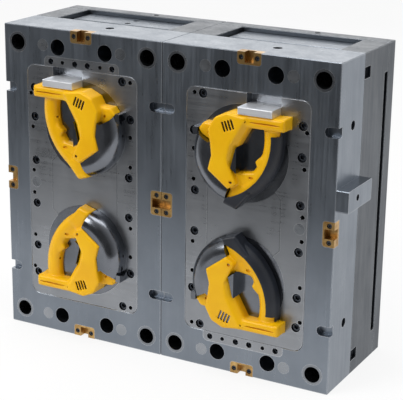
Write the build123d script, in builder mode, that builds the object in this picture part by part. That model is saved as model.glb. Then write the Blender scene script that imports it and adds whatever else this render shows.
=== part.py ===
"""Core side of a two-shot injection mould: two like halves side by side, the right one turned by 180 degrees.

One half is modelled about its own centre: X to the right, Z up, the parting face at y = 0 facing -Y.
Each piece is then placed in the left half and, turned about the parting normal, in the right half.
"""

import math
import os

from build123d import *

os.makedirs("parts", exist_ok=True)

# Plate stack of one half
plate_width = 400.0
plate_height = 700.0
core_plate_depth = 120.0
rail_depth = 130.0
clamp_plate_depth = 35.0
half_gap = 0.8
edge_chamfer = 1.5
edge_break = 1.0
fit_gap = 0.1
running_gap = 0.15
part_gap = 0.3

# Guide bushes, relief bores and return pins, placed from the plate's edges or its middle line
bush_outer = 45.0
bush_bore = 35.0
bush_from_side = 36.0
bush_from_end = 38.0
relief_bore = 36.0
relief_depth = 90.0
relief_from_side = 140.0
relief_from_end = 40.0
return_pin = 25.0
return_from_side = 101.5

# Core insert and what is let into it
insert_width = 280.0
insert_height = 534.0
insert_corner = 20.0
insert_depth = 80.0
screw_counterbore = 20.0
screw_sink = 15.0
dowel_hole = 9.5
dowel_sink = 30.0
plug_diameter = 24.0
plug_depth = 12.0
column_from_side = 17.0
centre_reach_left = 80.5
centre_reach_right = 90.0
centre_half_height = 55.0
centre_corner = 19.0
centre_depth = 40.0

# Wedge blocks beyond the insert's end
wedge_length = 94.5
wedge_height = 22.0
wedge_depth = 40.0
wedge_corner = 10.0
wedge_hole = 13.5
wedge_dowel = 9.0
wedge_hole_sink = 20.0
wedge_hole_near = 16.0
wedge_hole_far = 78.0
wedge_dowel_offset = 48.0

# Brass parting locks at the middle of each plate edge
lock_width = 54.0
lock_reach = 26.0
lock_depth = 22.0
lock_corner = 6.0
lock_channel = 20.0
lock_channel_depth = 16.0
lock_wall = 4.0
lock_screw_offset = 18.0
lock_screw_from_edge = 11.5
lock_screw_hole = 11.0
lock_screw_sink = 8.0

# Pry slots in the parting face, side ports and eyebolt holes
pry_offset = 210.0
pry_height = 21.0
pry_reach = 30.0
pry_depth = 15.0
port_hole = 20.0
port_sink = 25.0
second_port_sink = 30.0
port_behind_face = 70.0
port_offset = 212.0
eyebolt_hole = 14.0
eyebolt_sink = 30.0
eyebolt_offset = 29.0

# Spacer rails and clamp plate
rail_width = 58.0
groove_width = 20.0
groove_sink = 16.0
groove_half_length = 290.0
notch_height = 24.0
notch_depth = 30.0
notch_sink = 8.0
notch_from_end = 42.0
frame_screw = 20.0
frame_screw_head = 30.0
frame_screw_head_height = 20.0
frame_screw_reach = 35.0
frame_screw_from_side = 29.0
frame_screw_offset = 235.0
knock_out_bore = 50.0

# Ejector set
retainer_depth = 30.0
ejector_base_depth = 42.0
ejector_side_gap = 6.0
ejector_end_gap = 10.0
stop_height = 3.0
stop_diameter = 24.0
stop_offset_x = 105.0
stop_offset_z = 270.0
pin_diameter = 8.0
pin_head = 14.0
pin_head_height = 5.0
return_head = 32.0
return_head_height = 8.0
pillar_diameter = 44.0
pillar_from_side = 56.0

# Saw housing on its core: heights above the parting face, and the bow of its handle
wall = 3.0
handle_height = 30.0
motor_height = 45.0
neck_height = 31.0
web_height = 28.0
foot_height = 40.0
ear_height = 25.0
motor_slope = 13.0
neck_crown = 6.0
web_crown = 4.0
foot_crown = 6.0
ear_crown = 3.0
bow_x = 66.0
bow_z = 180.0
bow_inner = 113.0
bow_outer = 151.0
bow_side = 16.0
bow_start = -14.0
bow_end = 64.0
boss_diameter = 10.0
vent_x = 22.0
vent_z = 206.0
vent_count = 4
vent_length = 22.0
vent_width = 4.0
vent_pitch = 7.0
vent_slope = -20.0
vent_sink = 12.0
grip_skin = 2.5
grip_inner = 134.0
grip_start = -5.0

# Outlines of the housing's forms on the parting face, as points of x and z
motor_outline = [(-22, 208), (-16, 226), (26, 232), (53, 220), (69, 192), (63, 165), (60, 138), (68, 108)]
motor_outline += [(21, 73), (2, 86), (17, 117), (7, 158)]
neck_outline = [(2, 86), (21, 73), (36, 40), (8, 31), (-22, 66)]
web_outline = [(-47, 150), (-30, 134), (-37, 122), (-32, 112), (4, 107), (16, 117), (20, 92), (2, 78)]
web_outline += [(-58, 112)]
ear_outline = [(56, 172), (62, 202), (90, 201), (100, 187), (92, 176), (70, 164)]

# Guard core, the pad in the handle's opening and the ear core
guard_x = 9.0
guard_z = 140.0
guard_radius = 103.0
guard_height = 40.0
guard_rim = 30.0
guard_cut = 5.0
guard_end = 184.0
pad_x = -11.0
pad_z = 156.0
pad_width = 78.0
pad_length = 104.0
pad_height = 12.0
ear_core_x = 106.0
ear_core_z = 181.0
ear_core_width = 11.0
ear_core_length = 16.0
ear_core_height = 26.0

# Side slide at the housing's foot
foot_end = 231.0
foot_depth = 26.0
foot_left = -100.0
foot_right = 3.0
slide_left = -73.0
slide_right = 3.0
slide_thickness = 15.0
slide_height = 41.0
slide_base_depth = 25.0

# Lifting block on the outer side of the right half
block_reach = 27.0
block_height = 46.0
block_rise = 72.0
block_hole = 14.0
block_hole_behind_face = 47.0
block_corner = 3.0

# Places worked out from the driving dimensions
stack_depth = core_plate_depth + rail_depth + clamp_plate_depth
rail_back = core_plate_depth + rail_depth
half_offset = (plate_width + half_gap) / 2
origin_x = block_reach / 2
origin_y = (stack_depth - motor_height) / 2
left_place = Location((-half_offset - origin_x, -origin_y, plate_height / 2))
right_place = Location((half_offset - origin_x, -origin_y, plate_height / 2), (0, 180, 0))

bush_x = plate_width / 2 - bush_from_side
bush_z = plate_height / 2 - bush_from_end
bush_spots = [(x, z) for x in (-bush_x, bush_x) for z in (-bush_z, bush_z)]
relief_x = plate_width / 2 - relief_from_side
relief_z = plate_height / 2 - relief_from_end
relief_spots = [(x, z) for x in (-relief_x, relief_x) for z in (-relief_z, relief_z)]
return_x = plate_width / 2 - return_from_side
return_spots = [(x, z) for x in (-return_x, return_x) for z in (-bush_z, bush_z)]

insert_top = insert_height / 2
insert_side = insert_width / 2
screw_column = insert_side - column_from_side
screw_spots = [(screw_column - 20, 254), (screw_column, 174), (screw_column - 4, 45)]
screw_spots += [(-screw_column, 215), (-screw_column, 150), (-screw_column, 50)]
screw_spots += [(x, -z) for x, z in screw_spots]
dowel_spots = [(screw_column, 254), (screw_column, 135), (screw_column, 69)]
dowel_spots += [(-screw_column - 9, 202), (-screw_column - 6, 126), (-screw_column - 6, 26)]
dowel_spots += [(x, -z) for x, z in dowel_spots]

lock_places = [
    Location((0, plate_height / 2), 0),
    Location((0, -plate_height / 2), 180),
    Location((plate_width / 2, 0), -90),
    Location((-plate_width / 2, 0), 90),
]

boss_spots = {(16, 94): motor_height, (-63, 151): handle_height}
boss_spots.update({(40, 190): motor_height, (-40, 218): foot_height})
pin_spots = [(x, z * side) for x, z in boss_spots for side in (1, -1)]
stop_spots = [(x, z) for x in (-stop_offset_x, stop_offset_x) for z in (-stop_offset_z, stop_offset_z)]
frame_x = plate_width / 2 - frame_screw_from_side
frame_spots = [(x, z) for x in (-frame_x, frame_x) for z in (-frame_screw_offset, frame_screw_offset)]

ejector_back = rail_back - stop_height
retainer_back = ejector_back - ejector_base_depth
ejector_width = plate_width - 2 * rail_width - 2 * ejector_side_gap
ejector_height = plate_height - 2 * ejector_end_gap
pillar_x = ejector_width / 2 - pillar_from_side
pillar_spots = [(-pillar_x, 0), (pillar_x, 0)]


def depth_plane(y):
    """Plane parallel to the parting face, y behind it, with its normal to the front."""
    return Plane.XZ.offset(-y)


parting = depth_plane(0)


def write_piece(solid, node):
    """Name a finished piece and write it."""
    solid.label = node
    export_step(solid, f"parts/{node}.step")


def write_both(solid, piece):
    """Write a piece of the half in the left half and, turned, in the right half."""
    write_piece(left_place * solid, f"left_{piece}")
    write_piece(right_place * solid, f"right_{piece}")


def mirrored(solid):
    """Image of a piece of the upper cavity for the lower cavity."""
    return mirror(solid, about=Plane.XY, mode=Mode.PRIVATE)


def write_upper(solid, piece):
    """Write a piece of the upper cavity of each half, in the turned right half as its lower image."""
    write_piece(left_place * solid, f"left_upper_{piece}")
    write_piece(right_place * mirrored(solid), f"right_upper_{piece}")


def write_lower(solid, piece):
    """Write a piece, drawn for the upper cavity, in the lower cavity of each half."""
    write_piece(left_place * mirrored(solid), f"left_lower_{piece}")
    write_piece(right_place * solid, f"right_lower_{piece}")


# Core plate
with BuildPart() as core_plate:
    with BuildSketch(depth_plane(core_plate_depth)):
        Rectangle(plate_width, plate_height)
    extrude(amount=core_plate_depth)
    chamfer(core_plate.edges(), edge_chamfer)
    with BuildSketch(parting):
        RectangleRounded(insert_width + 2 * fit_gap, insert_height + 2 * fit_gap, insert_corner + fit_gap)
    extrude(amount=-insert_depth, mode=Mode.SUBTRACT)
    chamfer(core_plate.faces().sort_by(Axis.Y)[0].inner_wires()[0].edges(), edge_break)
    with BuildSketch(parting):
        with Locations(*bush_spots):
            Circle(bush_outer / 2)
        with Locations(*return_spots):
            Circle(return_pin / 2 + running_gap)
        with Locations(*pin_spots):
            Circle(pin_diameter / 2 + running_gap)
    extrude(amount=-core_plate_depth, mode=Mode.SUBTRACT)
    with BuildSketch(parting):
        with Locations(*relief_spots):
            Circle(relief_bore / 2)
    extrude(amount=-relief_depth, mode=Mode.SUBTRACT)
    with BuildSketch(parting):
        with Locations(*lock_places):
            with Locations((0, lock_corner)):
                RectangleRounded(
                    lock_width, lock_reach + lock_corner, lock_corner, align=(Align.CENTER, Align.MAX)
                )
    extrude(amount=-lock_depth, mode=Mode.SUBTRACT)
    with BuildSketch(parting):
        with GridLocations(plate_width, 2 * pry_offset, 2, 2):
            SlotOverall(2 * pry_reach, pry_height)
    extrude(amount=-pry_depth, mode=Mode.SUBTRACT)
    with BuildSketch(parting):
        with Locations((0, insert_top + fit_gap - wedge_corner)):
            RectangleRounded(
                2 * wedge_length,
                wedge_height + wedge_corner,
                wedge_corner - fit_gap,
                align=(Align.CENTER, Align.MIN),
            )
    extrude(amount=-wedge_depth, mode=Mode.SUBTRACT)
    with BuildSketch(depth_plane(core_plate_depth)):
        with Locations(*frame_spots):
            Circle(frame_screw / 2)
    extrude(amount=frame_screw_reach, mode=Mode.SUBTRACT)
    for port_z, port_depth in ((port_offset, port_sink), (-port_offset, second_port_sink)):
        with BuildSketch(Plane.YZ.offset(-plate_width / 2)):
            with Locations((port_behind_face, port_z)):
                Circle(port_hole / 2)
        extrude(amount=port_depth, mode=Mode.SUBTRACT)
    with BuildSketch(Plane.XY.offset(plate_height / 2)):
        with Locations((eyebolt_offset, port_behind_face)):
            Circle(port_hole / 2)
    extrude(amount=-port_sink, mode=Mode.SUBTRACT)
    with BuildSketch(Plane.XY.offset(-plate_height / 2)):
        with Locations((-eyebolt_offset, port_behind_face)):
            Circle(port_hole / 2)
    extrude(amount=port_sink, mode=Mode.SUBTRACT)
write_both(core_plate.part, "core_plate")

# Guide bushes
with BuildPart() as guide_bushes:
    with BuildSketch(parting):
        with Locations(*bush_spots):
            Circle(bush_outer / 2)
            Circle(bush_bore / 2, mode=Mode.SUBTRACT)
    extrude(amount=-core_plate_depth)
write_both(guide_bushes.part, "guide_bushes")

# Brass parting locks
with BuildPart() as parting_locks:
    with BuildSketch(parting):
        with Locations(*lock_places):
            with Locations((0, lock_corner)):
                RectangleRounded(
                    lock_width, lock_reach + lock_corner, lock_corner, align=(Align.CENTER, Align.MAX)
                )
        Rectangle(plate_width, plate_height, mode=Mode.INTERSECT)
    extrude(amount=-lock_depth)
    with BuildSketch(parting):
        with Locations(*lock_places):
            Rectangle(lock_channel, 2 * (lock_reach - lock_wall))
    extrude(amount=-lock_channel_depth, mode=Mode.SUBTRACT)
    with BuildSketch(parting):
        with Locations(*lock_places):
            with Locations(
                (-lock_screw_offset, -lock_screw_from_edge), (lock_screw_offset, -lock_screw_from_edge)
            ):
                Circle(lock_screw_hole / 2)
    extrude(amount=-lock_screw_sink, mode=Mode.SUBTRACT)
write_both(parting_locks.part, "parting_locks")

# Wedge blocks: two blocks that meet on the middle line, each with two screw holes and a dowel hole
with BuildPart() as wedge_blocks:
    with BuildSketch(parting):
        with Locations((0, insert_top + fit_gap - wedge_corner)):
            RectangleRounded(
                2 * wedge_length,
                wedge_height + wedge_corner,
                wedge_corner - fit_gap,
                align=(Align.CENTER, Align.MIN),
            )
        Rectangle(insert_width, insert_height + 2 * fit_gap, mode=Mode.SUBTRACT)
        with Locations((0, insert_top + wedge_height / 2)):
            Rectangle(fit_gap, 2 * wedge_height, mode=Mode.SUBTRACT)
    extrude(amount=-wedge_depth)
    with BuildSketch(parting):
        with Locations((0, insert_top + wedge_height / 2)):
            for offset_x in (wedge_hole_near, wedge_hole_far):
                with Locations((offset_x, 0), (-offset_x, 0)):
                    Circle(wedge_hole / 2)
            with Locations((wedge_dowel_offset, 0), (-wedge_dowel_offset, 0)):
                Circle(wedge_dowel / 2)
    extrude(amount=-wedge_hole_sink, mode=Mode.SUBTRACT)
write_both(wedge_blocks.part, "wedge_blocks")

# Spacer rails, the outer one with the clamp groove and pry notches
with BuildPart() as outer_rail:
    with BuildSketch(depth_plane(rail_back)):
        with Locations((-(plate_width - rail_width) / 2, 0)):
            Rectangle(rail_width, plate_height)
    extrude(amount=rail_depth)
    chamfer(outer_rail.edges(), edge_chamfer)
    with BuildSketch(depth_plane(rail_back)):
        with Locations((-plate_width / 2, 0)):
            Rectangle(2 * groove_sink, 2 * groove_half_length)
    extrude(amount=groove_width, mode=Mode.SUBTRACT)
    with BuildSketch(depth_plane(core_plate_depth)):
        with GridLocations(2 * plate_width, plate_height - 2 * notch_from_end, 1, 2):
            with Locations((-plate_width / 2, 0)):
                Rectangle(2 * notch_sink, notch_height)
    extrude(amount=-notch_depth, mode=Mode.SUBTRACT)
    with BuildSketch(depth_plane(rail_back)):
        with Locations(*frame_spots):
            Circle(frame_screw / 2 + fit_gap)
    extrude(amount=rail_depth, mode=Mode.SUBTRACT)
write_both(outer_rail.part, "outer_rail")

with BuildPart() as inner_rail:
    with BuildSketch(depth_plane(rail_back)):
        with Locations(((plate_width - rail_width) / 2, 0)):
            Rectangle(rail_width, plate_height)
    extrude(amount=rail_depth)
    chamfer(inner_rail.edges(), edge_chamfer)
    with BuildSketch(depth_plane(rail_back)):
        with Locations(*frame_spots):
            Circle(frame_screw / 2 + fit_gap)
    extrude(amount=rail_depth, mode=Mode.SUBTRACT)
write_both(inner_rail.part, "inner_rail")

# Clamp plate with the knock-out bore and the counterbores of the frame screws
with BuildPart() as clamp_plate:
    with BuildSketch(depth_plane(stack_depth)):
        Rectangle(plate_width, plate_height)
    extrude(amount=clamp_plate_depth)
    chamfer(clamp_plate.edges(), edge_chamfer)
    with BuildSketch(depth_plane(stack_depth)):
        Circle(knock_out_bore / 2)
        with Locations(*frame_spots):
            Circle(frame_screw / 2 + fit_gap)
    extrude(amount=clamp_plate_depth, mode=Mode.SUBTRACT)
    with BuildSketch(depth_plane(stack_depth)):
        with Locations(*frame_spots):
            Circle(frame_screw_head / 2 + part_gap)
    extrude(amount=frame_screw_head_height, mode=Mode.SUBTRACT)
    with BuildSketch(Plane.XY.offset(plate_height / 2)):
        with Locations((eyebolt_offset, rail_back + clamp_plate_depth / 2)):
            Circle(eyebolt_hole / 2)
    extrude(amount=-eyebolt_sink, mode=Mode.SUBTRACT)
    with BuildSketch(Plane.XY.offset(-plate_height / 2)):
        with Locations((-eyebolt_offset, rail_back + clamp_plate_depth / 2)):
            Circle(eyebolt_hole / 2)
    extrude(amount=eyebolt_sink, mode=Mode.SUBTRACT)
write_both(clamp_plate.part, "clamp_plate")

# Frame screws from the clamp plate through the rails into the core plate
with BuildPart() as frame_screws:
    with BuildSketch(depth_plane(stack_depth)):
        with Locations(*frame_spots):
            Circle(frame_screw_head / 2)
    extrude(amount=frame_screw_head_height)
    with BuildSketch(depth_plane(stack_depth - frame_screw_head_height)):
        with Locations(*frame_spots):
            Circle(frame_screw / 2)
    extrude(amount=clamp_plate_depth - frame_screw_head_height + rail_depth + frame_screw_reach)
write_both(frame_screws.part, "frame_screws")

# Support pillars between the clamp plate and the core plate
with BuildPart() as support_pillars:
    with BuildSketch(depth_plane(rail_back)):
        with Locations(*pillar_spots):
            Circle(pillar_diameter / 2)
    extrude(amount=rail_depth)
write_both(support_pillars.part, "support_pillars")

# Stop buttons on the clamp plate, which the ejector set rests against
with BuildPart() as stop_buttons:
    with BuildSketch(depth_plane(rail_back)):
        with Locations(*stop_spots):
            Circle(stop_diameter / 2)
    extrude(amount=stop_height)
write_both(stop_buttons.part, "stop_buttons")

# Ejector base plate
with BuildPart() as ejector_base_plate:
    with BuildSketch(depth_plane(ejector_back)):
        Rectangle(ejector_width, ejector_height)
    extrude(amount=ejector_base_depth)
    chamfer(ejector_base_plate.edges(), edge_chamfer)
    with BuildSketch(depth_plane(ejector_back)):
        with Locations(*pillar_spots):
            Circle(pillar_diameter / 2 + edge_break)
    extrude(amount=ejector_base_depth, mode=Mode.SUBTRACT)
    with BuildSketch(Plane.XY.offset(ejector_height / 2)):
        with Locations((0, ejector_back - ejector_base_depth / 2)):
            Circle(eyebolt_hole / 2)
    extrude(amount=-eyebolt_sink, mode=Mode.SUBTRACT)
write_both(ejector_base_plate.part, "ejector_base_plate")

# Ejector retainer plate, with seats for the pin heads in its back face
with BuildPart() as ejector_retainer_plate:
    with BuildSketch(depth_plane(retainer_back)):
        Rectangle(ejector_width, ejector_height)
    extrude(amount=retainer_depth)
    chamfer(ejector_retainer_plate.edges(), edge_chamfer)
    with BuildSketch(depth_plane(retainer_back)):
        with Locations(*pillar_spots):
            Circle(pillar_diameter / 2 + edge_break)
        with Locations(*pin_spots):
            Circle(pin_diameter / 2)
        with Locations(*return_spots):
            Circle(return_pin / 2)
    extrude(amount=retainer_depth, mode=Mode.SUBTRACT)
    with BuildSketch(depth_plane(retainer_back)):
        with Locations(*pin_spots):
            Circle(pin_head / 2)
    extrude(amount=pin_head_height, mode=Mode.SUBTRACT)
    with BuildSketch(depth_plane(retainer_back)):
        with Locations(*return_spots):
            Circle(return_head / 2)
    extrude(amount=return_head_height, mode=Mode.SUBTRACT)
    with BuildSketch(Plane.XY.offset(ejector_height / 2)):
        with Locations((0, retainer_back - retainer_depth / 2)):
            Circle(eyebolt_hole / 2)
    extrude(amount=-eyebolt_sink, mode=Mode.SUBTRACT)
write_both(ejector_retainer_plate.part, "ejector_retainer_plate")

# Ejector pins, which end at the parting face under the housings' bosses
with BuildPart() as ejector_pins:
    with BuildSketch(depth_plane(retainer_back)):
        with Locations(*pin_spots):
            Circle(pin_head / 2)
    extrude(amount=pin_head_height)
    with BuildSketch(depth_plane(retainer_back - pin_head_height)):
        with Locations(*pin_spots):
            Circle(pin_diameter / 2)
    extrude(amount=retainer_back - pin_head_height)
write_both(ejector_pins.part, "ejector_pins")

# Return pins, flush with the parting face
with BuildPart() as return_pins:
    with BuildSketch(depth_plane(retainer_back)):
        with Locations(*return_spots):
            Circle(return_head / 2)
    extrude(amount=return_head_height)
    with BuildSketch(depth_plane(retainer_back - return_head_height)):
        with Locations(*return_spots):
            Circle(return_pin / 2)
    extrude(amount=retainer_back - return_head_height)
write_both(return_pins.part, "return_pins")

# Forms of the saw housing in the upper cavity of the left half
foot_outline = [
    (foot_left, foot_end - foot_depth),
    (foot_left, foot_end),
    (foot_right, foot_end),
    (foot_right, foot_end - foot_depth),
]


def set_in(points, inset):
    """Corners of a clockwise outline moved inwards by inset, square to its sides."""
    moved = []
    for before, corner, after in zip(points[-1:] + points[:-1], points, points[1:] + points[:1]):
        into = Vector(corner[0] - before[0], corner[1] - before[1]).normalized().rotate(Axis.Z, -90)
        out_of = Vector(after[0] - corner[0], after[1] - corner[1]).normalized().rotate(Axis.Z, -90)
        shift = (into + out_of) * (inset / (1 + into.dot(out_of)))
        moved.append((corner[0] + shift.X, corner[1] + shift.Y))
    return moved


def bow_section(angle):
    """Plane across the handle bow at an angle below the bow's middle line, X outwards and Y to the front."""
    turn = math.radians(angle)
    outwards = (-math.cos(turn), 0, -math.sin(turn))
    along = (-math.sin(turn), 0, math.cos(turn))
    return Plane(origin=(bow_x, 0, bow_z), x_dir=outwards, z_dir=along)


def bow_form(inset):
    """Handle as a revolved bow, upright to the side height and rounded above it."""
    inner = bow_inner + inset
    outer = bow_outer - inset
    top = handle_height - inset
    with BuildPart() as shape:
        with BuildSketch(bow_section(bow_start)):
            with BuildLine():
                Polyline((inner, bow_side), (inner, 0), (outer, 0), (outer, bow_side))
                ThreePointArc((outer, bow_side), ((inner + outer) / 2, top), (inner, bow_side))
            make_face()
        revolve(axis=Axis((bow_x, 0, bow_z), (0, -1, 0)), revolution_arc=bow_end - bow_start)
    return shape.part


def motor_form(inset):
    """Motor housing with upright walls and a wide bevel along the handle's opening."""
    with BuildPart() as shape:
        with BuildSketch(parting):
            with BuildLine():
                Polyline(*set_in(motor_outline, inset), close=True)
            make_face()
        extrude(amount=motor_height - inset)
        rim = shape.faces().sort_by(Axis.Y)[0].edges().sort_by_distance((pad_x, -motor_height, pad_z))
        chamfer(rim[:2], motor_slope)
    return shape.part


def upright_form(points, height, crown, inset):
    """Form with upright walls; its crown is rounded, and bevelled when set inwards."""
    with BuildPart() as shape:
        with BuildSketch(parting):
            with BuildLine():
                Polyline(*set_in(points, inset), close=True)
            make_face()
        extrude(amount=height - inset)
        rim = shape.faces().sort_by(Axis.Y)[0].edges()
        if inset > 0:
            chamfer(rim, crown / 2)
        else:
            fillet(rim, crown)
    return shape.part


def housing_forms(inset):
    """The forms that make up the housing."""
    return [
        bow_form(inset),
        motor_form(inset),
        upright_form(neck_outline, neck_height, neck_crown, inset),
        upright_form(web_outline, web_height, web_crown, inset),
        upright_form(foot_outline, foot_height, foot_crown, inset),
        upright_form(ear_outline, ear_height, ear_crown, inset),
    ]


outer_forms = housing_forms(0)
cavity_forms = housing_forms(wall)
core_forms = housing_forms(wall + part_gap)

# Room that the guard core leaves around the housing
with BuildPart() as housing_room:
    with BuildSketch(bow_section(bow_start)):
        with Locations((bow_inner - part_gap, 0)):
            Rectangle(bow_outer - bow_inner, motor_height, align=(Align.MIN, Align.MIN))
    revolve(axis=Axis((bow_x, 0, bow_z), (0, -1, 0)), revolution_arc=bow_end - bow_start)
    for points in (motor_outline, neck_outline, web_outline, foot_outline, ear_outline):
        with BuildSketch(parting):
            with BuildLine():
                Polyline(*set_in(points, -part_gap), close=True)
            make_face()
        extrude(amount=motor_height)

# Moulded housing: a shell with screw bosses, vents and screw holes
with BuildPart() as moulding:
    for solid in outer_forms:
        add(solid)
    for solid in cavity_forms:
        add(solid, mode=Mode.SUBTRACT)
    for spot, height in boss_spots.items():
        with BuildSketch(parting):
            with Locations(spot):
                Circle(boss_diameter / 2)
        extrude(amount=height - wall / 2)
    with BuildSketch(depth_plane(-motor_height)):
        with Locations(Location((vent_x, vent_z), vent_slope)):
            with GridLocations(vent_pitch, 0, vent_count, 1):
                SlotOverall(vent_length, vent_width, rotation=90)
    extrude(amount=-vent_sink, mode=Mode.SUBTRACT)
write_upper(moulding.part, "moulding")
write_lower(moulding.part, "moulding")

# Point on the line of the neck's guard side, beyond the neck's end
neck_beyond = (2 * neck_outline[2][0] - neck_outline[1][0], 2 * neck_outline[2][1] - neck_outline[1][1])

# Black grip over-moulded on the outer side of the handle and its neck, on the housings of the right half
with BuildPart() as grip:
    add(bow_form(-grip_skin))
    add(upright_form(neck_outline, neck_height, neck_crown, -grip_skin))
    with BuildSketch(parting):
        with Locations((bow_x, bow_z)):
            Circle(grip_inner)
        with Locations((bow_x, bow_z)):
            with Locations(Location((0, 0), grip_start)):
                Rectangle(2 * bow_outer, bow_outer, align=(Align.CENTER, Align.MIN))
    extrude(amount=motor_height, mode=Mode.SUBTRACT)
    with BuildSketch(parting):
        with BuildLine():
            Polyline(*neck_outline[:2], neck_beyond, (bow_x, 0), (bow_x, neck_outline[0][1]), close=True)
        make_face()
    extrude(amount=motor_height, mode=Mode.SUBTRACT)
    for solid in outer_forms:
        add(solid, mode=Mode.SUBTRACT)
write_piece(right_place * grip.part, "right_lower_grip")
write_piece(right_place * mirrored(grip.part), "right_upper_grip")

# Round core: guard disc, pad in the handle's opening, ear core and the core of the housing
slide_face = foot_end + part_gap
with BuildPart() as core:
    with BuildSketch(parting):
        with Locations((guard_x, guard_z)):
            Circle(guard_radius)
    extrude(amount=guard_height)
    fillet(core.faces().sort_by(Axis.Y)[0].edges(), guard_rim)
    with BuildSketch(parting):
        with Locations((guard_x - guard_cut, guard_z)):
            Rectangle(guard_radius, 3 * guard_radius, align=(Align.MAX, Align.CENTER))
        with Locations((guard_x, guard_end)):
            Rectangle(3 * guard_radius, guard_radius, align=(Align.CENTER, Align.MIN))
    extrude(amount=guard_height, mode=Mode.SUBTRACT)
    with BuildSketch(parting):
        with Locations((pad_x, pad_z)):
            Rectangle(pad_width, pad_length)
    extrude(amount=pad_height)
    add(housing_room.part, mode=Mode.SUBTRACT)
    with BuildSketch(parting):
        with Locations((guard_x, guard_z)):
            Circle(guard_radius)
    extrude(amount=-insert_depth)
    for solid in core_forms:
        add(solid)
    with BuildSketch(parting):
        with Locations((ear_core_x, ear_core_z)):
            Rectangle(ear_core_width, ear_core_length)
    extrude(amount=ear_core_height)
    with BuildSketch(parting):
        with Locations(*boss_spots):
            Circle(boss_diameter / 2 + part_gap)
    extrude(amount=motor_height, mode=Mode.SUBTRACT)
    with BuildSketch(parting):
        with Locations(*boss_spots):
            Circle(pin_diameter / 2 + running_gap)
    extrude(amount=-insert_depth, mode=Mode.SUBTRACT)
write_lower(core.part, "core")

# The upper core gives room to the slide
slide_channel = slide_right - slide_left + 2 * running_gap
with BuildPart() as upper_core:
    add(core.part)
    with BuildSketch(parting):
        with Locations((slide_left - running_gap, slide_face - running_gap)):
            Rectangle(slide_channel, guard_radius, align=(Align.MIN, Align.MIN))
    extrude(amount=slide_base_depth, both=True, mode=Mode.SUBTRACT)
write_upper(upper_core.part, "core")

# Side slide at the upper housing's foot: nose in front of the parting face, base in its channel
with BuildPart() as slide:
    with BuildSketch(depth_plane(slide_base_depth)):
        with Locations((slide_left, slide_face)):
            Rectangle(slide_right - slide_left, slide_thickness, align=(Align.MIN, Align.MIN))
    extrude(amount=slide_base_depth + slide_height)
    chamfer(slide.faces().sort_by(Axis.Y)[0].edges(), edge_break)
write_upper(slide.part, "slide")

# Core insert with the seats of the cores, slides and centre insert
with BuildSketch(parting) as centre_outline:
    with BuildLine():
        Polyline(
            (-centre_reach_left + centre_corner, centre_half_height + centre_corner),
            (centre_reach_right, centre_half_height + centre_corner),
            (centre_reach_right, -centre_half_height - centre_corner),
            (-centre_reach_left + centre_corner, -centre_half_height - centre_corner),
            (-centre_reach_left, -centre_half_height),
            (-centre_reach_left, centre_half_height),
            close=True,
        )
    make_face()

with BuildPart() as core_insert:
    with BuildSketch(depth_plane(insert_depth)):
        RectangleRounded(insert_width, insert_height, insert_corner)
    extrude(amount=insert_depth)
    chamfer(core_insert.faces().sort_by(Axis.Y)[0].edges(), edge_break)
    with BuildSketch(parting):
        offset(centre_outline.sketch, amount=fit_gap)
    extrude(amount=-centre_depth, mode=Mode.SUBTRACT)
    with BuildSketch(parting):
        with Locations((guard_x, guard_z), (guard_x, -guard_z)):
            Circle(guard_radius)
    extrude(amount=-insert_depth, mode=Mode.SUBTRACT)
    with BuildSketch(parting):
        with Locations((slide_left - running_gap, slide_face - running_gap)):
            Rectangle(slide_channel, insert_top, align=(Align.MIN, Align.MIN))
    extrude(amount=-slide_base_depth, mode=Mode.SUBTRACT)
    with BuildSketch(parting):
        with Locations(*screw_spots):
            Circle(screw_counterbore / 2)
    extrude(amount=-screw_sink, mode=Mode.SUBTRACT)
    with BuildSketch(parting):
        with Locations(*dowel_spots):
            Circle(dowel_hole / 2)
    extrude(amount=-dowel_sink, mode=Mode.SUBTRACT)
    with BuildSketch(parting):
        with Locations((-screw_column, 0)):
            Circle(plug_diameter / 2)
    extrude(amount=-plug_depth, mode=Mode.SUBTRACT)
write_piece(left_place * core_insert.part, "left_core_insert")
write_piece(right_place * mirrored(core_insert.part), "right_core_insert")

with BuildPart() as centre_insert:
    with BuildSketch(parting):
        add(centre_outline.sketch)
        with Locations((guard_x, guard_z), (guard_x, -guard_z)):
            Circle(guard_radius + fit_gap, mode=Mode.SUBTRACT)
    extrude(amount=-centre_depth)
write_both(centre_insert.part, "centre_insert")

with BuildPart() as insert_plug:
    with BuildSketch(parting):
        with Locations((-screw_column, 0)):
            Circle(plug_diameter / 2)
    extrude(amount=-plug_depth)
write_both(insert_plug.part, "insert_plug")

# Lifting block on the outer side of the right half, drawn in the half's turned frame
with BuildPart() as side_lifting_block:
    with BuildSketch(Plane.YZ.offset(-plate_width / 2)):
        with Locations((core_plate_depth / 2, -block_rise)):
            RectangleRounded(core_plate_depth, block_height, block_corner)
        with Locations((block_hole_behind_face, -block_rise)):
            Circle(block_hole / 2, mode=Mode.SUBTRACT)
    extrude(amount=-block_reach)
write_piece(right_place * side_lifting_block.part, "right_side_lifting_block")
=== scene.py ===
"""Core side of a two-shot injection mould, dressed for its picture: materials, screws, light and camera."""

import math

import bmesh
import bpy
from mathutils import Euler, Matrix, Vector
from mathutils.bvhtree import BVHTree


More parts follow.
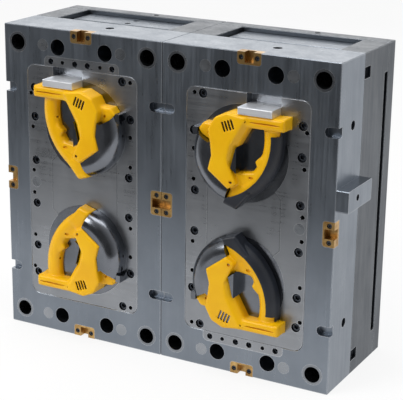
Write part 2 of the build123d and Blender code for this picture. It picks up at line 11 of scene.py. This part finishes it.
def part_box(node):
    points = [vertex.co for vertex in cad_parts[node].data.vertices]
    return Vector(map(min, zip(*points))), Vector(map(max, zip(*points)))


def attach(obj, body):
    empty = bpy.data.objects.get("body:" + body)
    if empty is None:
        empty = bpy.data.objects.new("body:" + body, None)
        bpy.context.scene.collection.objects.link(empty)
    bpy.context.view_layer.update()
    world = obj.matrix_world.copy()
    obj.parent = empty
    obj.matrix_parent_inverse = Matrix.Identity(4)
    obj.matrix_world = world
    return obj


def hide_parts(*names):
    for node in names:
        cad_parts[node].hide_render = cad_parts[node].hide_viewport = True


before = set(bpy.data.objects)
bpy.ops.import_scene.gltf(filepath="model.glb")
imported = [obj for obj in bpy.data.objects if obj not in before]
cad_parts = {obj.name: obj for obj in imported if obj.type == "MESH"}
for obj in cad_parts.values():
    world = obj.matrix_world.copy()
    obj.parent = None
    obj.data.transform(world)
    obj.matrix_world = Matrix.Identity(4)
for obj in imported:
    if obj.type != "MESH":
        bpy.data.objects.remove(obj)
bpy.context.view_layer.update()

MM = 0.001
FRAME_BODY = "mould_frame"
SIDES = ("left", "right")
LEVELS = ("upper", "lower")

# Camera fitted to the picture, which is 403 pixels wide; metres and degrees
PICTURE_WIDTH = 403
FOCAL_PIXELS = 1350
SENSOR_WIDTH = 36.0
CAMERA_PLACE = Vector((1.369, -2.487, 1.227))
CAMERA_AZIMUTH = 28.5
CAMERA_PITCH = 17.55
CAMERA_ROLL = 0.84

# Socket head screws, in millimetres
INSERT_SCREW = dict(head=9.0, height=12.0, socket=5.0, sink=4.0)
LOCK_SCREW = dict(head=4.8, height=5.0, socket=2.5, sink=1.5)
WEDGE_SCREW = dict(head=6.0, height=8.0, socket=3.0, sink=6.0)

# Form of a screw head: shares of its radius, of the socket's reach and of its height
HEAD_BEVEL = 0.12
MOUTH_REACH = 1.08
MOUTH_DEPTH = 0.6
SOCKET_DEPTH = 0.6
DRILL_REACH = 0.2
DRILL_DEPTH = 0.68
SCREW_STEPS = 24
SCREW_TURN = 0.7

# Screw places in a half's own frame, in millimetres
PLATE_LOW, PLATE_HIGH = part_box("left_core_plate")
SCREW_COLUMN = 123
INSERT_SCREWS = [(SCREW_COLUMN - 20, 254), (SCREW_COLUMN, 174), (SCREW_COLUMN - 4, 45)]
INSERT_SCREWS += [(-SCREW_COLUMN, 215), (-SCREW_COLUMN, 150), (-SCREW_COLUMN, 50)]
INSERT_SCREWS += [(x, -z) for x, z in INSERT_SCREWS]
LOCK_OFFSET = 18
LOCK_FROM_EDGE = 11.5
LOCK_X = (PLATE_HIGH[0] - PLATE_LOW[0]) / 2 / MM - LOCK_FROM_EDGE
LOCK_Z = (PLATE_HIGH[2] - PLATE_LOW[2]) / 2 / MM - LOCK_FROM_EDGE
LOCK_SCREWS = [(x, z) for x in (-LOCK_OFFSET, LOCK_OFFSET) for z in (-LOCK_Z, LOCK_Z)]
LOCK_SCREWS += [(x, z) for x in (-LOCK_X, LOCK_X) for z in (-LOCK_OFFSET, LOCK_OFFSET)]
WEDGE_Z = 278
WEDGE_X = (16, 78)
WEDGE_SCREWS = [(x * sign, WEDGE_Z) for x in WEDGE_X for sign in (1, -1)]

# Skin of the housings and grips, in millimetres: mesh size and rounds of smoothing
SKIN_VOXEL = 1.6
SKIN_ROUNDS = 44
GRIP_VOXEL = 0.9
GRIP_ROUNDS = 5
SMOOTH_FACTOR = 0.5

# Where a housing is smoothed, in millimetres: off the core, above the rim and away from the vents
WALL_NEAR = 1.0
WALL_FAR = 2.4
RIM_LOW = 3.0
RIM_HIGH = 10.0
VENT_SPOT = (22, 206)
VENT_REACH = 15
VENT_BLUR = 8

# Screw holes and the foot's groove in a housing, in millimetres of the left half's upper cavity
HOLE_STEPS = 20
HOLE_FLOOR = 2.4
HOLE_ABOVE = 4
HOLES = [
    dict(spot=(-24.5, 99.5), reach=(5.6, 3.2), crown=28),
    dict(spot=(13.7, 89.0), reach=(3.4, 3.4), crown=44),
    dict(spot=(-13.5, 219.0), reach=(3.2, 3.2), crown=39),
    dict(spot=(-58.0, 218.0), reach=(34.0, 1.7), crown=39.4),
    dict(spot=(-48.0, 163.0), reach=(2.6, 2.6), crown=20),
    dict(spot=(75.0, 181.0), reach=(2.8, 2.8), crown=24.5),
]

# Floor, in metres, and the share of it that shows plain white
FLOOR_SIDE = 7.0
FLOOR_FRONT = -0.9
FLOOR_BACK = 9.0
FLOOR_GLOW = 0.85
FLOOR_DARK = (0.86, 0.86, 0.86)
FLOOR_LIGHT = (0.9, 0.9, 0.9)
WHITE = (1, 1, 1, 1)

# Surroundings: strength by the Y part of a direction
WORLD_FRONT = dict(direction=-0.9, strength=0.10)
WORLD_BACK = dict(direction=0.4, strength=1.0)

# Soft boxes, in metres and watts
LAMPS = [
    dict(name="key", place=(-1.6, -2.6, 2.6), target=(0, 0, 0.35), size=(1.8, 1.8), power=75),
    dict(name="back", place=(-1.6, 3.2, 1.9), target=(0, 0, 0.6), size=(3.0, 1.6), power=10),
    dict(name="top", place=(0.3, -0.4, 3.0), target=(0, 0, 0.4), size=(2.0, 1.4), power=32),
]

# Middle range of a noise's values
NOISE_LOW = 0.3
NOISE_HIGH = 0.7

# Colour sockets of a Mix node: factor and two colours in, one colour out
MIX_INPUTS = (0, 6, 7)
MIX_OUTPUT = 2

# Cosine between the flat and the rounded normal where an edge starts to show and where it shows fully
EDGE_START = 0.98
EDGE_FULL = 0.85

# Tones and widths, in metres, of bright edges, a painted highlight, and of dark seams
EDGE_HIGHLIGHT = (0.72, 0.74, 0.77, 1)
EDGE_HIGHLIGHT_WIDTH = 0.0018
SEAM_EDGE = (0.02, 0.022, 0.026, 1)
SEAM_WIDTH = 0.004

# Stretch of the grinding lines along an axis
ALONG_X = (0.03, 1, 1)
ALONG_Z = (1, 1, 0.02)


def half_place(side):
    """Matrix from a half's own frame (middle of the parting face) to the row frame, in metres."""
    low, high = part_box(f"{side}_core_plate")
    middle = Vector(((low[0] + high[0]) / 2, low[1], (low[2] + high[2]) / 2))
    turn = math.pi if side == "right" else 0.0
    return Matrix.Translation(middle) @ Matrix.Rotation(turn, 4, "Y")


PLACES = {side: half_place(side) for side in SIDES}


def cavity_place(side, level):
    """Matrix from the left half's upper cavity to a cavity of a half; the lower one is its mirror image."""
    upper_image = (level == "upper") == (side == "left")
    return PLACES[side] @ Matrix.Diagonal((1, 1, 1 if upper_image else -1, 1))


class Nodes:
    """A material's node tree with short calls to add and link nodes."""

    def __init__(self, name):
        self.material = bpy.data.materials.new(name)
        self.material.use_nodes = True
        self.tree = self.material.node_tree
        self.shader = self.tree.nodes["Principled BSDF"]

    def feed(self, socket, value):
        """Link an input to another node's output, or give it a plain value."""
        if isinstance(value, bpy.types.NodeSocket):
            self.tree.links.new(value, socket)
        else:
            socket.default_value = value

    def add(self, kind, inputs=None, **settings):
        """New node with its settings and inputs."""
        node = self.tree.nodes.new(kind)
        for key, value in settings.items():
            setattr(node, key, value)
        for key, value in (inputs or {}).items():
            self.feed(node.inputs[key], value)
        return node

    def noise(self, scale, detail=3.0, stretch=(1, 1, 1), roughness=0.5):
        """Noise in the object's own metres, stretched along the axes."""
        place = self.add("ShaderNodeTexCoord").outputs["Object"]
        place = self.add("ShaderNodeMapping", {"Vector": place, "Scale": stretch}).outputs["Vector"]
        inputs = {"Vector": place, "Scale": scale, "Detail": detail, "Roughness": roughness}
        return self.add("ShaderNodeTexNoise", inputs).outputs["Fac"]

    def ramp(self, value, dark, light, low=NOISE_LOW, high=NOISE_HIGH):
        """Colour that goes from dark to light as value goes from low to high."""
        node = self.add("ShaderNodeValToRGB", {"Fac": value})
        start, end = node.color_ramp.elements
        start.position, start.color = low, (*dark, 1)
        end.position, end.color = high, (*light, 1)
        return node.outputs["Color"]

    def range(self, value, to_low, to_high, low=NOISE_LOW, high=NOISE_HIGH):
        """Number that goes from to_low to to_high as value goes from low to high."""
        inputs = {"Value": value, "From Min": low, "From Max": high, "To Min": to_low, "To Max": to_high}
        return self.add("ShaderNodeMapRange", inputs).outputs["Result"]

    def mix(self, factor, first, second):
        """Colour between two colours."""
        node = self.add("ShaderNodeMix", data_type="RGBA")
        for index, value in zip(MIX_INPUTS, (factor, first, second)):
            self.feed(node.inputs[index], value)
        return node.outputs[MIX_OUTPUT]

    def math(self, operation, first, second):
        """Result of a sum on two numbers."""
        return self.add("ShaderNodeMath", {0: first, 1: second}, operation=operation).outputs[0]

    def edges(self, width, share):
        """Mask of edges: where a bevel of this width would turn the surface."""
        round_normal = self.add("ShaderNodeBevel", {"Radius": width}, samples=4).outputs["Normal"]
        flat_normal = self.add("ShaderNodeNewGeometry").outputs["Normal"]
        both = self.add("ShaderNodeVectorMath", {0: round_normal, 1: flat_normal}, operation="DOT_PRODUCT")
        return self.range(both.outputs["Value"], 0.0, share, low=EDGE_START, high=EDGE_FULL)

    def bump(self, height, strength, distance):
        """Normal of a surface with fine relief."""
        inputs = {"Height": height, "Strength": strength, "Distance": distance}
        return self.add("ShaderNodeBump", inputs).outputs["Normal"]

    def finish(self, **inputs):
        """Set the shader's inputs and give the material."""
        for key, value in inputs.items():
            self.feed(self.shader.inputs[key.replace("_", " ")], value)
        return self.material


def ground_steel(
    name,
    dark,
    light,
    rough,
    grind,
    line_depth=0.12,
    metal=1.0,
    edge=EDGE_HIGHLIGHT,
    edge_width=EDGE_HIGHLIGHT_WIDTH,
):
    """Ground tool steel: fine lines along one axis, cloudy tone, smeared oil and edges of another tone."""
    n = Nodes(name)
    cloud = n.noise(7.0, detail=5.0, roughness=0.6)
    lines = n.noise(260.0, detail=2.0, stretch=grind)
    smear = n.noise(22.0, detail=6.0, stretch=(1, 1, 0.25), roughness=0.7)
    # Edges take another tone: by default bright, a painted highlight; on the centre insert a dark seam.
    colour = n.mix(n.edges(edge_width, share=0.8), n.ramp(cloud, dark, light), edge)
    fine = n.range(lines, -0.05, 0.05)
    oily = n.range(smear, rough - 0.06, rough + 0.08, low=0.35)
    return n.finish(
        Base_Color=colour,
        Metallic=metal,
        Roughness=n.math("ADD", fine, oily),
        Normal=n.bump(lines, strength=line_depth, distance=0.0004),
    )


def polished_steel(name, dark, light, rough):
    """Polished core steel with faint haze."""
    n = Nodes(name)
    haze = n.noise(30.0, detail=5.0, roughness=0.65)
    return n.finish(
        Base_Color=n.ramp(n.noise(12.0), dark, light),
        Metallic=1.0,
        Roughness=n.range(haze, rough * 0.7, rough * 1.5, high=0.75),
        Normal=n.bump(haze, strength=0.05, distance=0.0005),
    )


def brass():
    """Machined bronze-brass with tarnish in patches."""
    n = Nodes("lock_brass")
    patch = n.noise(45.0, detail=6.0, roughness=0.65)
    lines = n.noise(420.0, detail=2.0, stretch=(1, 0.2, 0.2))
    return n.finish(
        Base_Color=n.ramp(patch, (0.30, 0.17, 0.06), (0.66, 0.43, 0.17), low=0.35),
        Metallic=1.0,
        Roughness=n.range(patch, 0.45, 0.26),
        Normal=n.bump(lines, strength=0.15, distance=0.0003),
    )


def yellow_plastic():
    """Glossy moulded plastic with a faint orange-peel skin and painted shade: a deeper orange in hollows.
    """
    n = Nodes("yellow_plastic")
    cloud = n.noise(14.0)
    skin = n.noise(900.0, detail=2.0)
    pointiness = n.add("ShaderNodeNewGeometry").outputs["Pointiness"]
    # Painted shade: concave spots such as holes and vents turn towards a dark orange.
    hollow_shade = n.range(pointiness, 0.7, 0.0, low=0.40, high=0.5)
    colour = n.ramp(cloud, (0.86, 0.44, 0.0015), (0.93, 0.52, 0.002))
    return n.finish(
        Base_Color=n.mix(hollow_shade, colour, (0.62, 0.22, 0.003, 1)),
        Roughness=n.range(cloud, 0.30, 0.38),
        Normal=n.bump(skin, strength=0.06, distance=0.0002),
        Specular_IOR_Level=0.3,
    )


def black_grip():
    """Soft over-moulded grip with a fine grained skin."""
    n = Nodes("black_grip")
    grain = n.noise(700.0)
    return n.finish(
        Base_Color=n.ramp(n.noise(18.0), (0.008, 0.010, 0.016), (0.016, 0.020, 0.030)),
        Roughness=n.range(grain, 0.40, 0.55),
        Normal=n.bump(grain, strength=0.2, distance=0.0002),
    )


def black_screw():
    """Blackened screw steel, rubbed bare on its edges."""
    n = Nodes("screw_black")
    patch = n.noise(90.0, detail=4.0)
    colour = n.ramp(patch, (0.035, 0.042, 0.055), (0.09, 0.10, 0.12))
    return n.finish(
        Base_Color=n.mix(n.edges(0.0006, share=0.6), colour, (0.4, 0.42, 0.45, 1)),
        Metallic=0.9,
        Roughness=n.range(patch, 0.3, 0.45),
    )


INSERT_LOOK = dict(
    dark=(0.26, 0.272, 0.292),
    light=(0.315, 0.328, 0.35),
    rough=0.34,
    grind=ALONG_X,
    line_depth=0.04,
)
PLATE = ground_steel("plate_steel", (0.19, 0.215, 0.25), (0.235, 0.262, 0.30), 0.34, ALONG_Z)
# Rails and clamp plate, at the mould's sides and back, get darker steel than the plates: painted shade
# where less light falls.
SHADED_RAIL = ground_steel("rail_steel_painted_shade", (0.082, 0.092, 0.106), (0.115, 0.127, 0.143), 0.40, ALONG_Z)
INSERT = ground_steel("insert_steel", **INSERT_LOOK)
CENTRE = ground_steel("centre_steel", edge=SEAM_EDGE, edge_width=SEAM_WIDTH, **INSERT_LOOK)
SLIDE = ground_steel("slide_steel", (0.80, 0.82, 0.86), (0.90, 0.92, 0.95), 0.42, ALONG_X, metal=0.7)
BRIGHT = polished_steel("bright_steel", (0.33, 0.345, 0.37), (0.42, 0.435, 0.46), 0.30)
BUSH = polished_steel("bush_steel", (0.20, 0.215, 0.235), (0.27, 0.285, 0.31), 0.26)
PIN = polished_steel("pin_steel", (0.25, 0.27, 0.295), (0.32, 0.335, 0.36), 0.28)
CORE = polished_steel("core_steel", (0.13, 0.14, 0.155), (0.20, 0.21, 0.235), 0.20)
BRASS = brass()
YELLOW = yellow_plastic()
GRIP = black_grip()
SCREW = black_screw()

# Material of each kind of CAD node; the others are bright steel
NODE_MATERIALS = {
    "core_plate": PLATE,
    "outer_rail": SHADED_RAIL,
    "inner_rail": SHADED_RAIL,
    "clamp_plate": SHADED_RAIL,
    "guide_bushes": BUSH,
    "return_pins": PIN,
    "ejector_base_plate": PLATE,
    "ejector_retainer_plate": PLATE,
    "side_lifting_block": PLATE,
    "core_insert": INSERT,
    "centre_insert": CENTRE,
    "wedge_blocks": INSERT,
    "insert_plug": PIN,
    "parting_locks": BRASS,
    "moulding": YELLOW,
    "grip": GRIP,
    "core": CORE,
    "slide": SLIDE,
    "frame_screws": SCREW,
}


def dress_nodes():
    """Give every CAD node its material."""
    for name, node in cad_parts.items():
        kind = name.split("_", 1)[1]
        for level in LEVELS:
            kind = kind.removeprefix(f"{level}_")
        node.data.materials.clear()
        node.data.materials.append(NODE_MATERIALS.get(kind, BRIGHT))


def add_loft(bm, rings):
    """Closed solid through rings of points, with a flat face on its first and last ring."""
    rings = [[bm.verts.new(point) for point in ring] for ring in rings]
    for first, second in zip(rings, rings[1:]):
        for step in range(len(first)):
            after = (step + 1) % len(first)
            bm.faces.new((first[step], second[step], second[after], first[after]))
    bm.faces.new(rings[0])
    bm.faces.new(rings[-1])


def mesh_from(bm, name):
    """Mesh of the solids in bm, with their faces turned outwards."""
    bmesh.ops.recalc_face_normals(bm, faces=bm.faces)
    mesh = bpy.data.meshes.new(name)
    bm.to_mesh(mesh)
    bm.free()
    return mesh


def hexagon_reach(angle, apothem):
    """Distance from the middle of a hexagon to its side at an angle."""
    sector = (angle + math.pi / 6) % (math.pi / 3) - math.pi / 6
    return apothem / math.cos(sector)


def screw_ring(place, reach, hexagonal, depth):
    """Points round a screw's axis at a depth below the face, on a circle or a hexagon (sizes in mm)."""
    ring = []
    for step in range(SCREW_STEPS):
        angle = 2 * math.pi * step / SCREW_STEPS
        r = hexagon_reach(angle, reach) if hexagonal else reach
        ring.append(place @ (Vector((r * math.cos(angle), depth, r * math.sin(angle))) * MM))
    return ring


def add_socket_screw(bm, place, head, height, socket, sink):
    """Socket head with a bevelled rim and a hexagon recess, its top sunk below the face (sizes in mm)."""
    bevel = head * HEAD_BEVEL
    profile = [
        (head, False, sink + height),
        (head, False, sink + bevel),
        (head - bevel, False, sink),
        (socket * MOUTH_REACH, True, sink),
        (socket, True, sink + bevel * MOUTH_DEPTH),
        (socket, True, sink + height * SOCKET_DEPTH),
        (socket * DRILL_REACH, False, sink + height * DRILL_DEPTH),
    ]
    add_loft(bm, [screw_ring(place, *row) for row in profile])


def add_screws(name, spots, screw, side):
    """One piece with a screw at each spot (x, z in mm) of a half's parting face."""
    bm = bmesh.new()
    for index, (x, z) in enumerate(spots):
        turn = Matrix.Rotation(SCREW_TURN * index, 4, "Y")
        add_socket_screw(bm, PLACES[side] @ Matrix.Translation(Vector((x, 0, z)) * MM) @ turn, **screw)
    piece = bpy.data.objects.new(f"{side}_{name}", mesh_from(bm, name))
    bpy.context.scene.collection.objects.link(piece)
    piece.data.materials.append(SCREW)
    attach(piece, FRAME_BODY)


def apply_modifiers(piece):
    """Turn a piece's modifiers into its mesh."""
    mesh = bpy.data.meshes.new_from_object(piece.evaluated_get(bpy.context.evaluated_depsgraph_get()))
    piece.modifiers.clear()
    piece.data = mesh


def hole_ring(place, hole, height):
    """Points round a hole at a height in front of the parting face."""
    ring = []
    for step in range(HOLE_STEPS):
        angle = 2 * math.pi * step / HOLE_STEPS
        x = hole["spot"][0] + hole["reach"][0] * math.cos(angle)
        z = hole["spot"][1] + hole["reach"][1] * math.sin(angle)
        ring.append(place @ (Vector((x, -height, z)) * MM))
    return ring


def hole_cutter(place):
    """Short prisms where the housing has its holes, from just below the skin outwards."""
    bm = bmesh.new()
    for hole in HOLES:
        heights = (hole["crown"] - HOLE_FLOOR, hole["crown"] + HOLE_ABOVE)
        add_loft(bm, [hole_ring(place, hole, height) for height in heights])
    return bpy.data.objects.new("hole_cutter", mesh_from(bm, "hole_cutter"))


def share_between(value, low, high):
    """How far value is from low to high, from 0 to 1."""
    return min(max((value - low) / (high - low), 0.0), 1.0)


def skin_weights(piece, core, place):
    """Smoothing weights: full on the open outer skin, none on the inner wall, the rim and the vents."""
    points = [vertex.co for vertex in core.data.vertices]
    tree = BVHTree.FromPolygons(points, [face.vertices for face in core.data.polygons])
    back = place.inverted()
    group = piece.vertex_groups.new(name="skin")
    for vertex in piece.data.vertices:
        own = (back @ vertex.co) / MM
        gap = tree.find_nearest(vertex.co)[3] / MM
        weight = share_between(gap, WALL_NEAR, WALL_FAR) * share_between(-own.y, RIM_LOW, RIM_HIGH)
        reach = math.hypot(own.x - VENT_SPOT[0], own.z - VENT_SPOT[1])
        weight *= share_between(reach, VENT_REACH, VENT_REACH + VENT_BLUR)
        group.add([vertex.index], weight, "REPLACE")
    return group.name


def even_copy(name, voxel):
    """Even-meshed copy of a CAD node."""
    piece = bpy.data.objects.new(f"{name}_skin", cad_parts[name].data.copy())
    bpy.context.scene.collection.objects.link(piece)
    remesh = piece.modifiers.new("remesh", "REMESH")
    remesh.mode = "VOXEL"
    remesh.voxel_size = voxel * MM
    remesh.use_smooth_shade = True
    apply_modifiers(piece)
    return piece


def add_smoothing(piece, rounds):
    """Smoothing modifier of a skin."""
    smooth = piece.modifiers.new("round", "SMOOTH")
    smooth.factor = SMOOTH_FACTOR
    smooth.iterations = rounds
    return smooth


def stand_for(piece, name, material, body):
    """Let a finished piece stand for a CAD node on a body."""
    piece.data.materials.clear()
    piece.data.materials.append(material)
    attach(piece, body)
    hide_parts(name)


def add_housing(side, level):
    """Rounded housing with its holes, which stands for the CAD moulding."""
    name = f"{side}_{level}_moulding"
    place = cavity_place(side, level)
    piece = even_copy(name, SKIN_VOXEL)
    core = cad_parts[f"{side}_{level}_core"]
    add_smoothing(piece, SKIN_ROUNDS).vertex_group = skin_weights(piece, core, place)
    cutter = hole_cutter(place)
    bpy.context.scene.collection.objects.link(cutter)
    cut = piece.modifiers.new("holes", "BOOLEAN")
    cut.object = cutter
    cut.operation = "DIFFERENCE"
    apply_modifiers(piece)
    bpy.data.objects.remove(cutter)
    stand_for(piece, name, YELLOW, f"{side}_{level}_housing")


def add_grip(level):
    """Grip with rounded borders, which stands for the CAD grip."""
    name = f"right_{level}_grip"
    piece = even_copy(name, GRIP_VOXEL)
    add_smoothing(piece, GRIP_ROUNDS)
    apply_modifiers(piece)
    stand_for(piece, name, GRIP, f"right_{level}_housing")


def add_floor():
    """Pale floor that shows white to the camera and in reflections, and keeps a soft shadow."""
    x, front, back = FLOOR_SIDE, FLOOR_FRONT, FLOOR_BACK
    mesh = bpy.data.meshes.new("floor")
    mesh.from_pydata([(-x, front, 0), (x, front, 0), (x, back, 0), (-x, back, 0)], [], [(0, 1, 2, 3)])
    floor = bpy.data.objects.new("floor", mesh)
    bpy.context.scene.collection.objects.link(floor)
    n = Nodes("floor_white")
    n.finish(Base_Color=n.ramp(n.noise(3.0), FLOOR_DARK, FLOOR_LIGHT), Roughness=0.9)
    path = n.add("ShaderNodeLightPath")
    seen = n.math("MAXIMUM", path.outputs["Is Camera Ray"], path.outputs["Is Glossy Ray"])
    seen = n.math("MAXIMUM", seen, path.outputs["Is Transmission Ray"])
    share = n.math("MULTIPLY", seen, FLOOR_GLOW)
    glow = n.add("ShaderNodeEmission", {"Color": WHITE, "Strength": 1.0})
    mixed = n.add("ShaderNodeMixShader", {0: share, 1: n.shader.outputs[0], 2: glow.outputs[0]})
    n.tree.links.new(mixed.outputs[0], n.tree.nodes["Material Output"].inputs["Surface"])
    mesh.materials.append(n.material)


def add_world():
    """Soft surroundings: bright behind the mould, dim in front of it."""
    world = bpy.data.worlds.new("studio")
    world.use_nodes = True
    tree = world.node_tree
    background = tree.nodes["Background"]
    background.inputs["Color"].default_value = WHITE
    place = tree.nodes.new("ShaderNodeTexCoord")
    split = tree.nodes.new("ShaderNodeSeparateXYZ")
    tree.links.new(place.outputs["Generated"], split.inputs[0])
    fade = tree.nodes.new("ShaderNodeMapRange")
    tree.links.new(split.outputs["Y"], fade.inputs["Value"])
    for end, row in (("Min", WORLD_FRONT), ("Max", WORLD_BACK)):
        fade.inputs[f"From {end}"].default_value = row["direction"]
        fade.inputs[f"To {end}"].default_value = row["strength"]
    tree.links.new(fade.outputs["Result"], background.inputs["Strength"])
    bpy.context.scene.world = world


def add_lamp(name, place, target, size, power):
    """Soft box at a place, facing a target."""
    data = bpy.data.lights.new(name, "AREA")
    data.shape = "RECTANGLE"
    data.size, data.size_y = size
    data.energy = power
    lamp = bpy.data.objects.new(name, data)
    lamp.location = place
    lamp.rotation_euler = (Vector(target) - Vector(place)).to_track_quat("-Z", "Y").to_euler()
    bpy.context.scene.collection.objects.link(lamp)


def add_camera():
    """Camera at the picture's place."""
    data = bpy.data.cameras.new("camera")
    data.sensor_fit = "HORIZONTAL"
    data.sensor_width = SENSOR_WIDTH
    data.lens = FOCAL_PIXELS / PICTURE_WIDTH * SENSOR_WIDTH
    camera = bpy.data.objects.new("camera", data)
    tilt = math.radians(90 - CAMERA_PITCH)
    aim = Euler((tilt, 0, math.radians(CAMERA_AZIMUTH))).to_matrix().to_4x4()
    roll = Matrix.Rotation(math.radians(CAMERA_ROLL), 4, "Z")
    camera.matrix_world = Matrix.Translation(CAMERA_PLACE) @ aim @ roll
    bpy.context.scene.collection.objects.link(camera)
    bpy.context.scene.camera = camera


dress_nodes()
for side in SIDES:
    add_screws("insert_screws", INSERT_SCREWS, INSERT_SCREW, side)
    add_screws("lock_screws", LOCK_SCREWS, LOCK_SCREW, side)
    add_screws("wedge_screws", WEDGE_SCREWS, WEDGE_SCREW, side)
for side in SIDES:
    for level in LEVELS:
        add_housing(side, level)
for level in LEVELS:
    add_grip(level)
add_floor()
add_world()
for lamp in LAMPS:
    add_lamp(**lamp)
add_camera()
bpy.context.scene.view_settings.view_transform = "Standard"
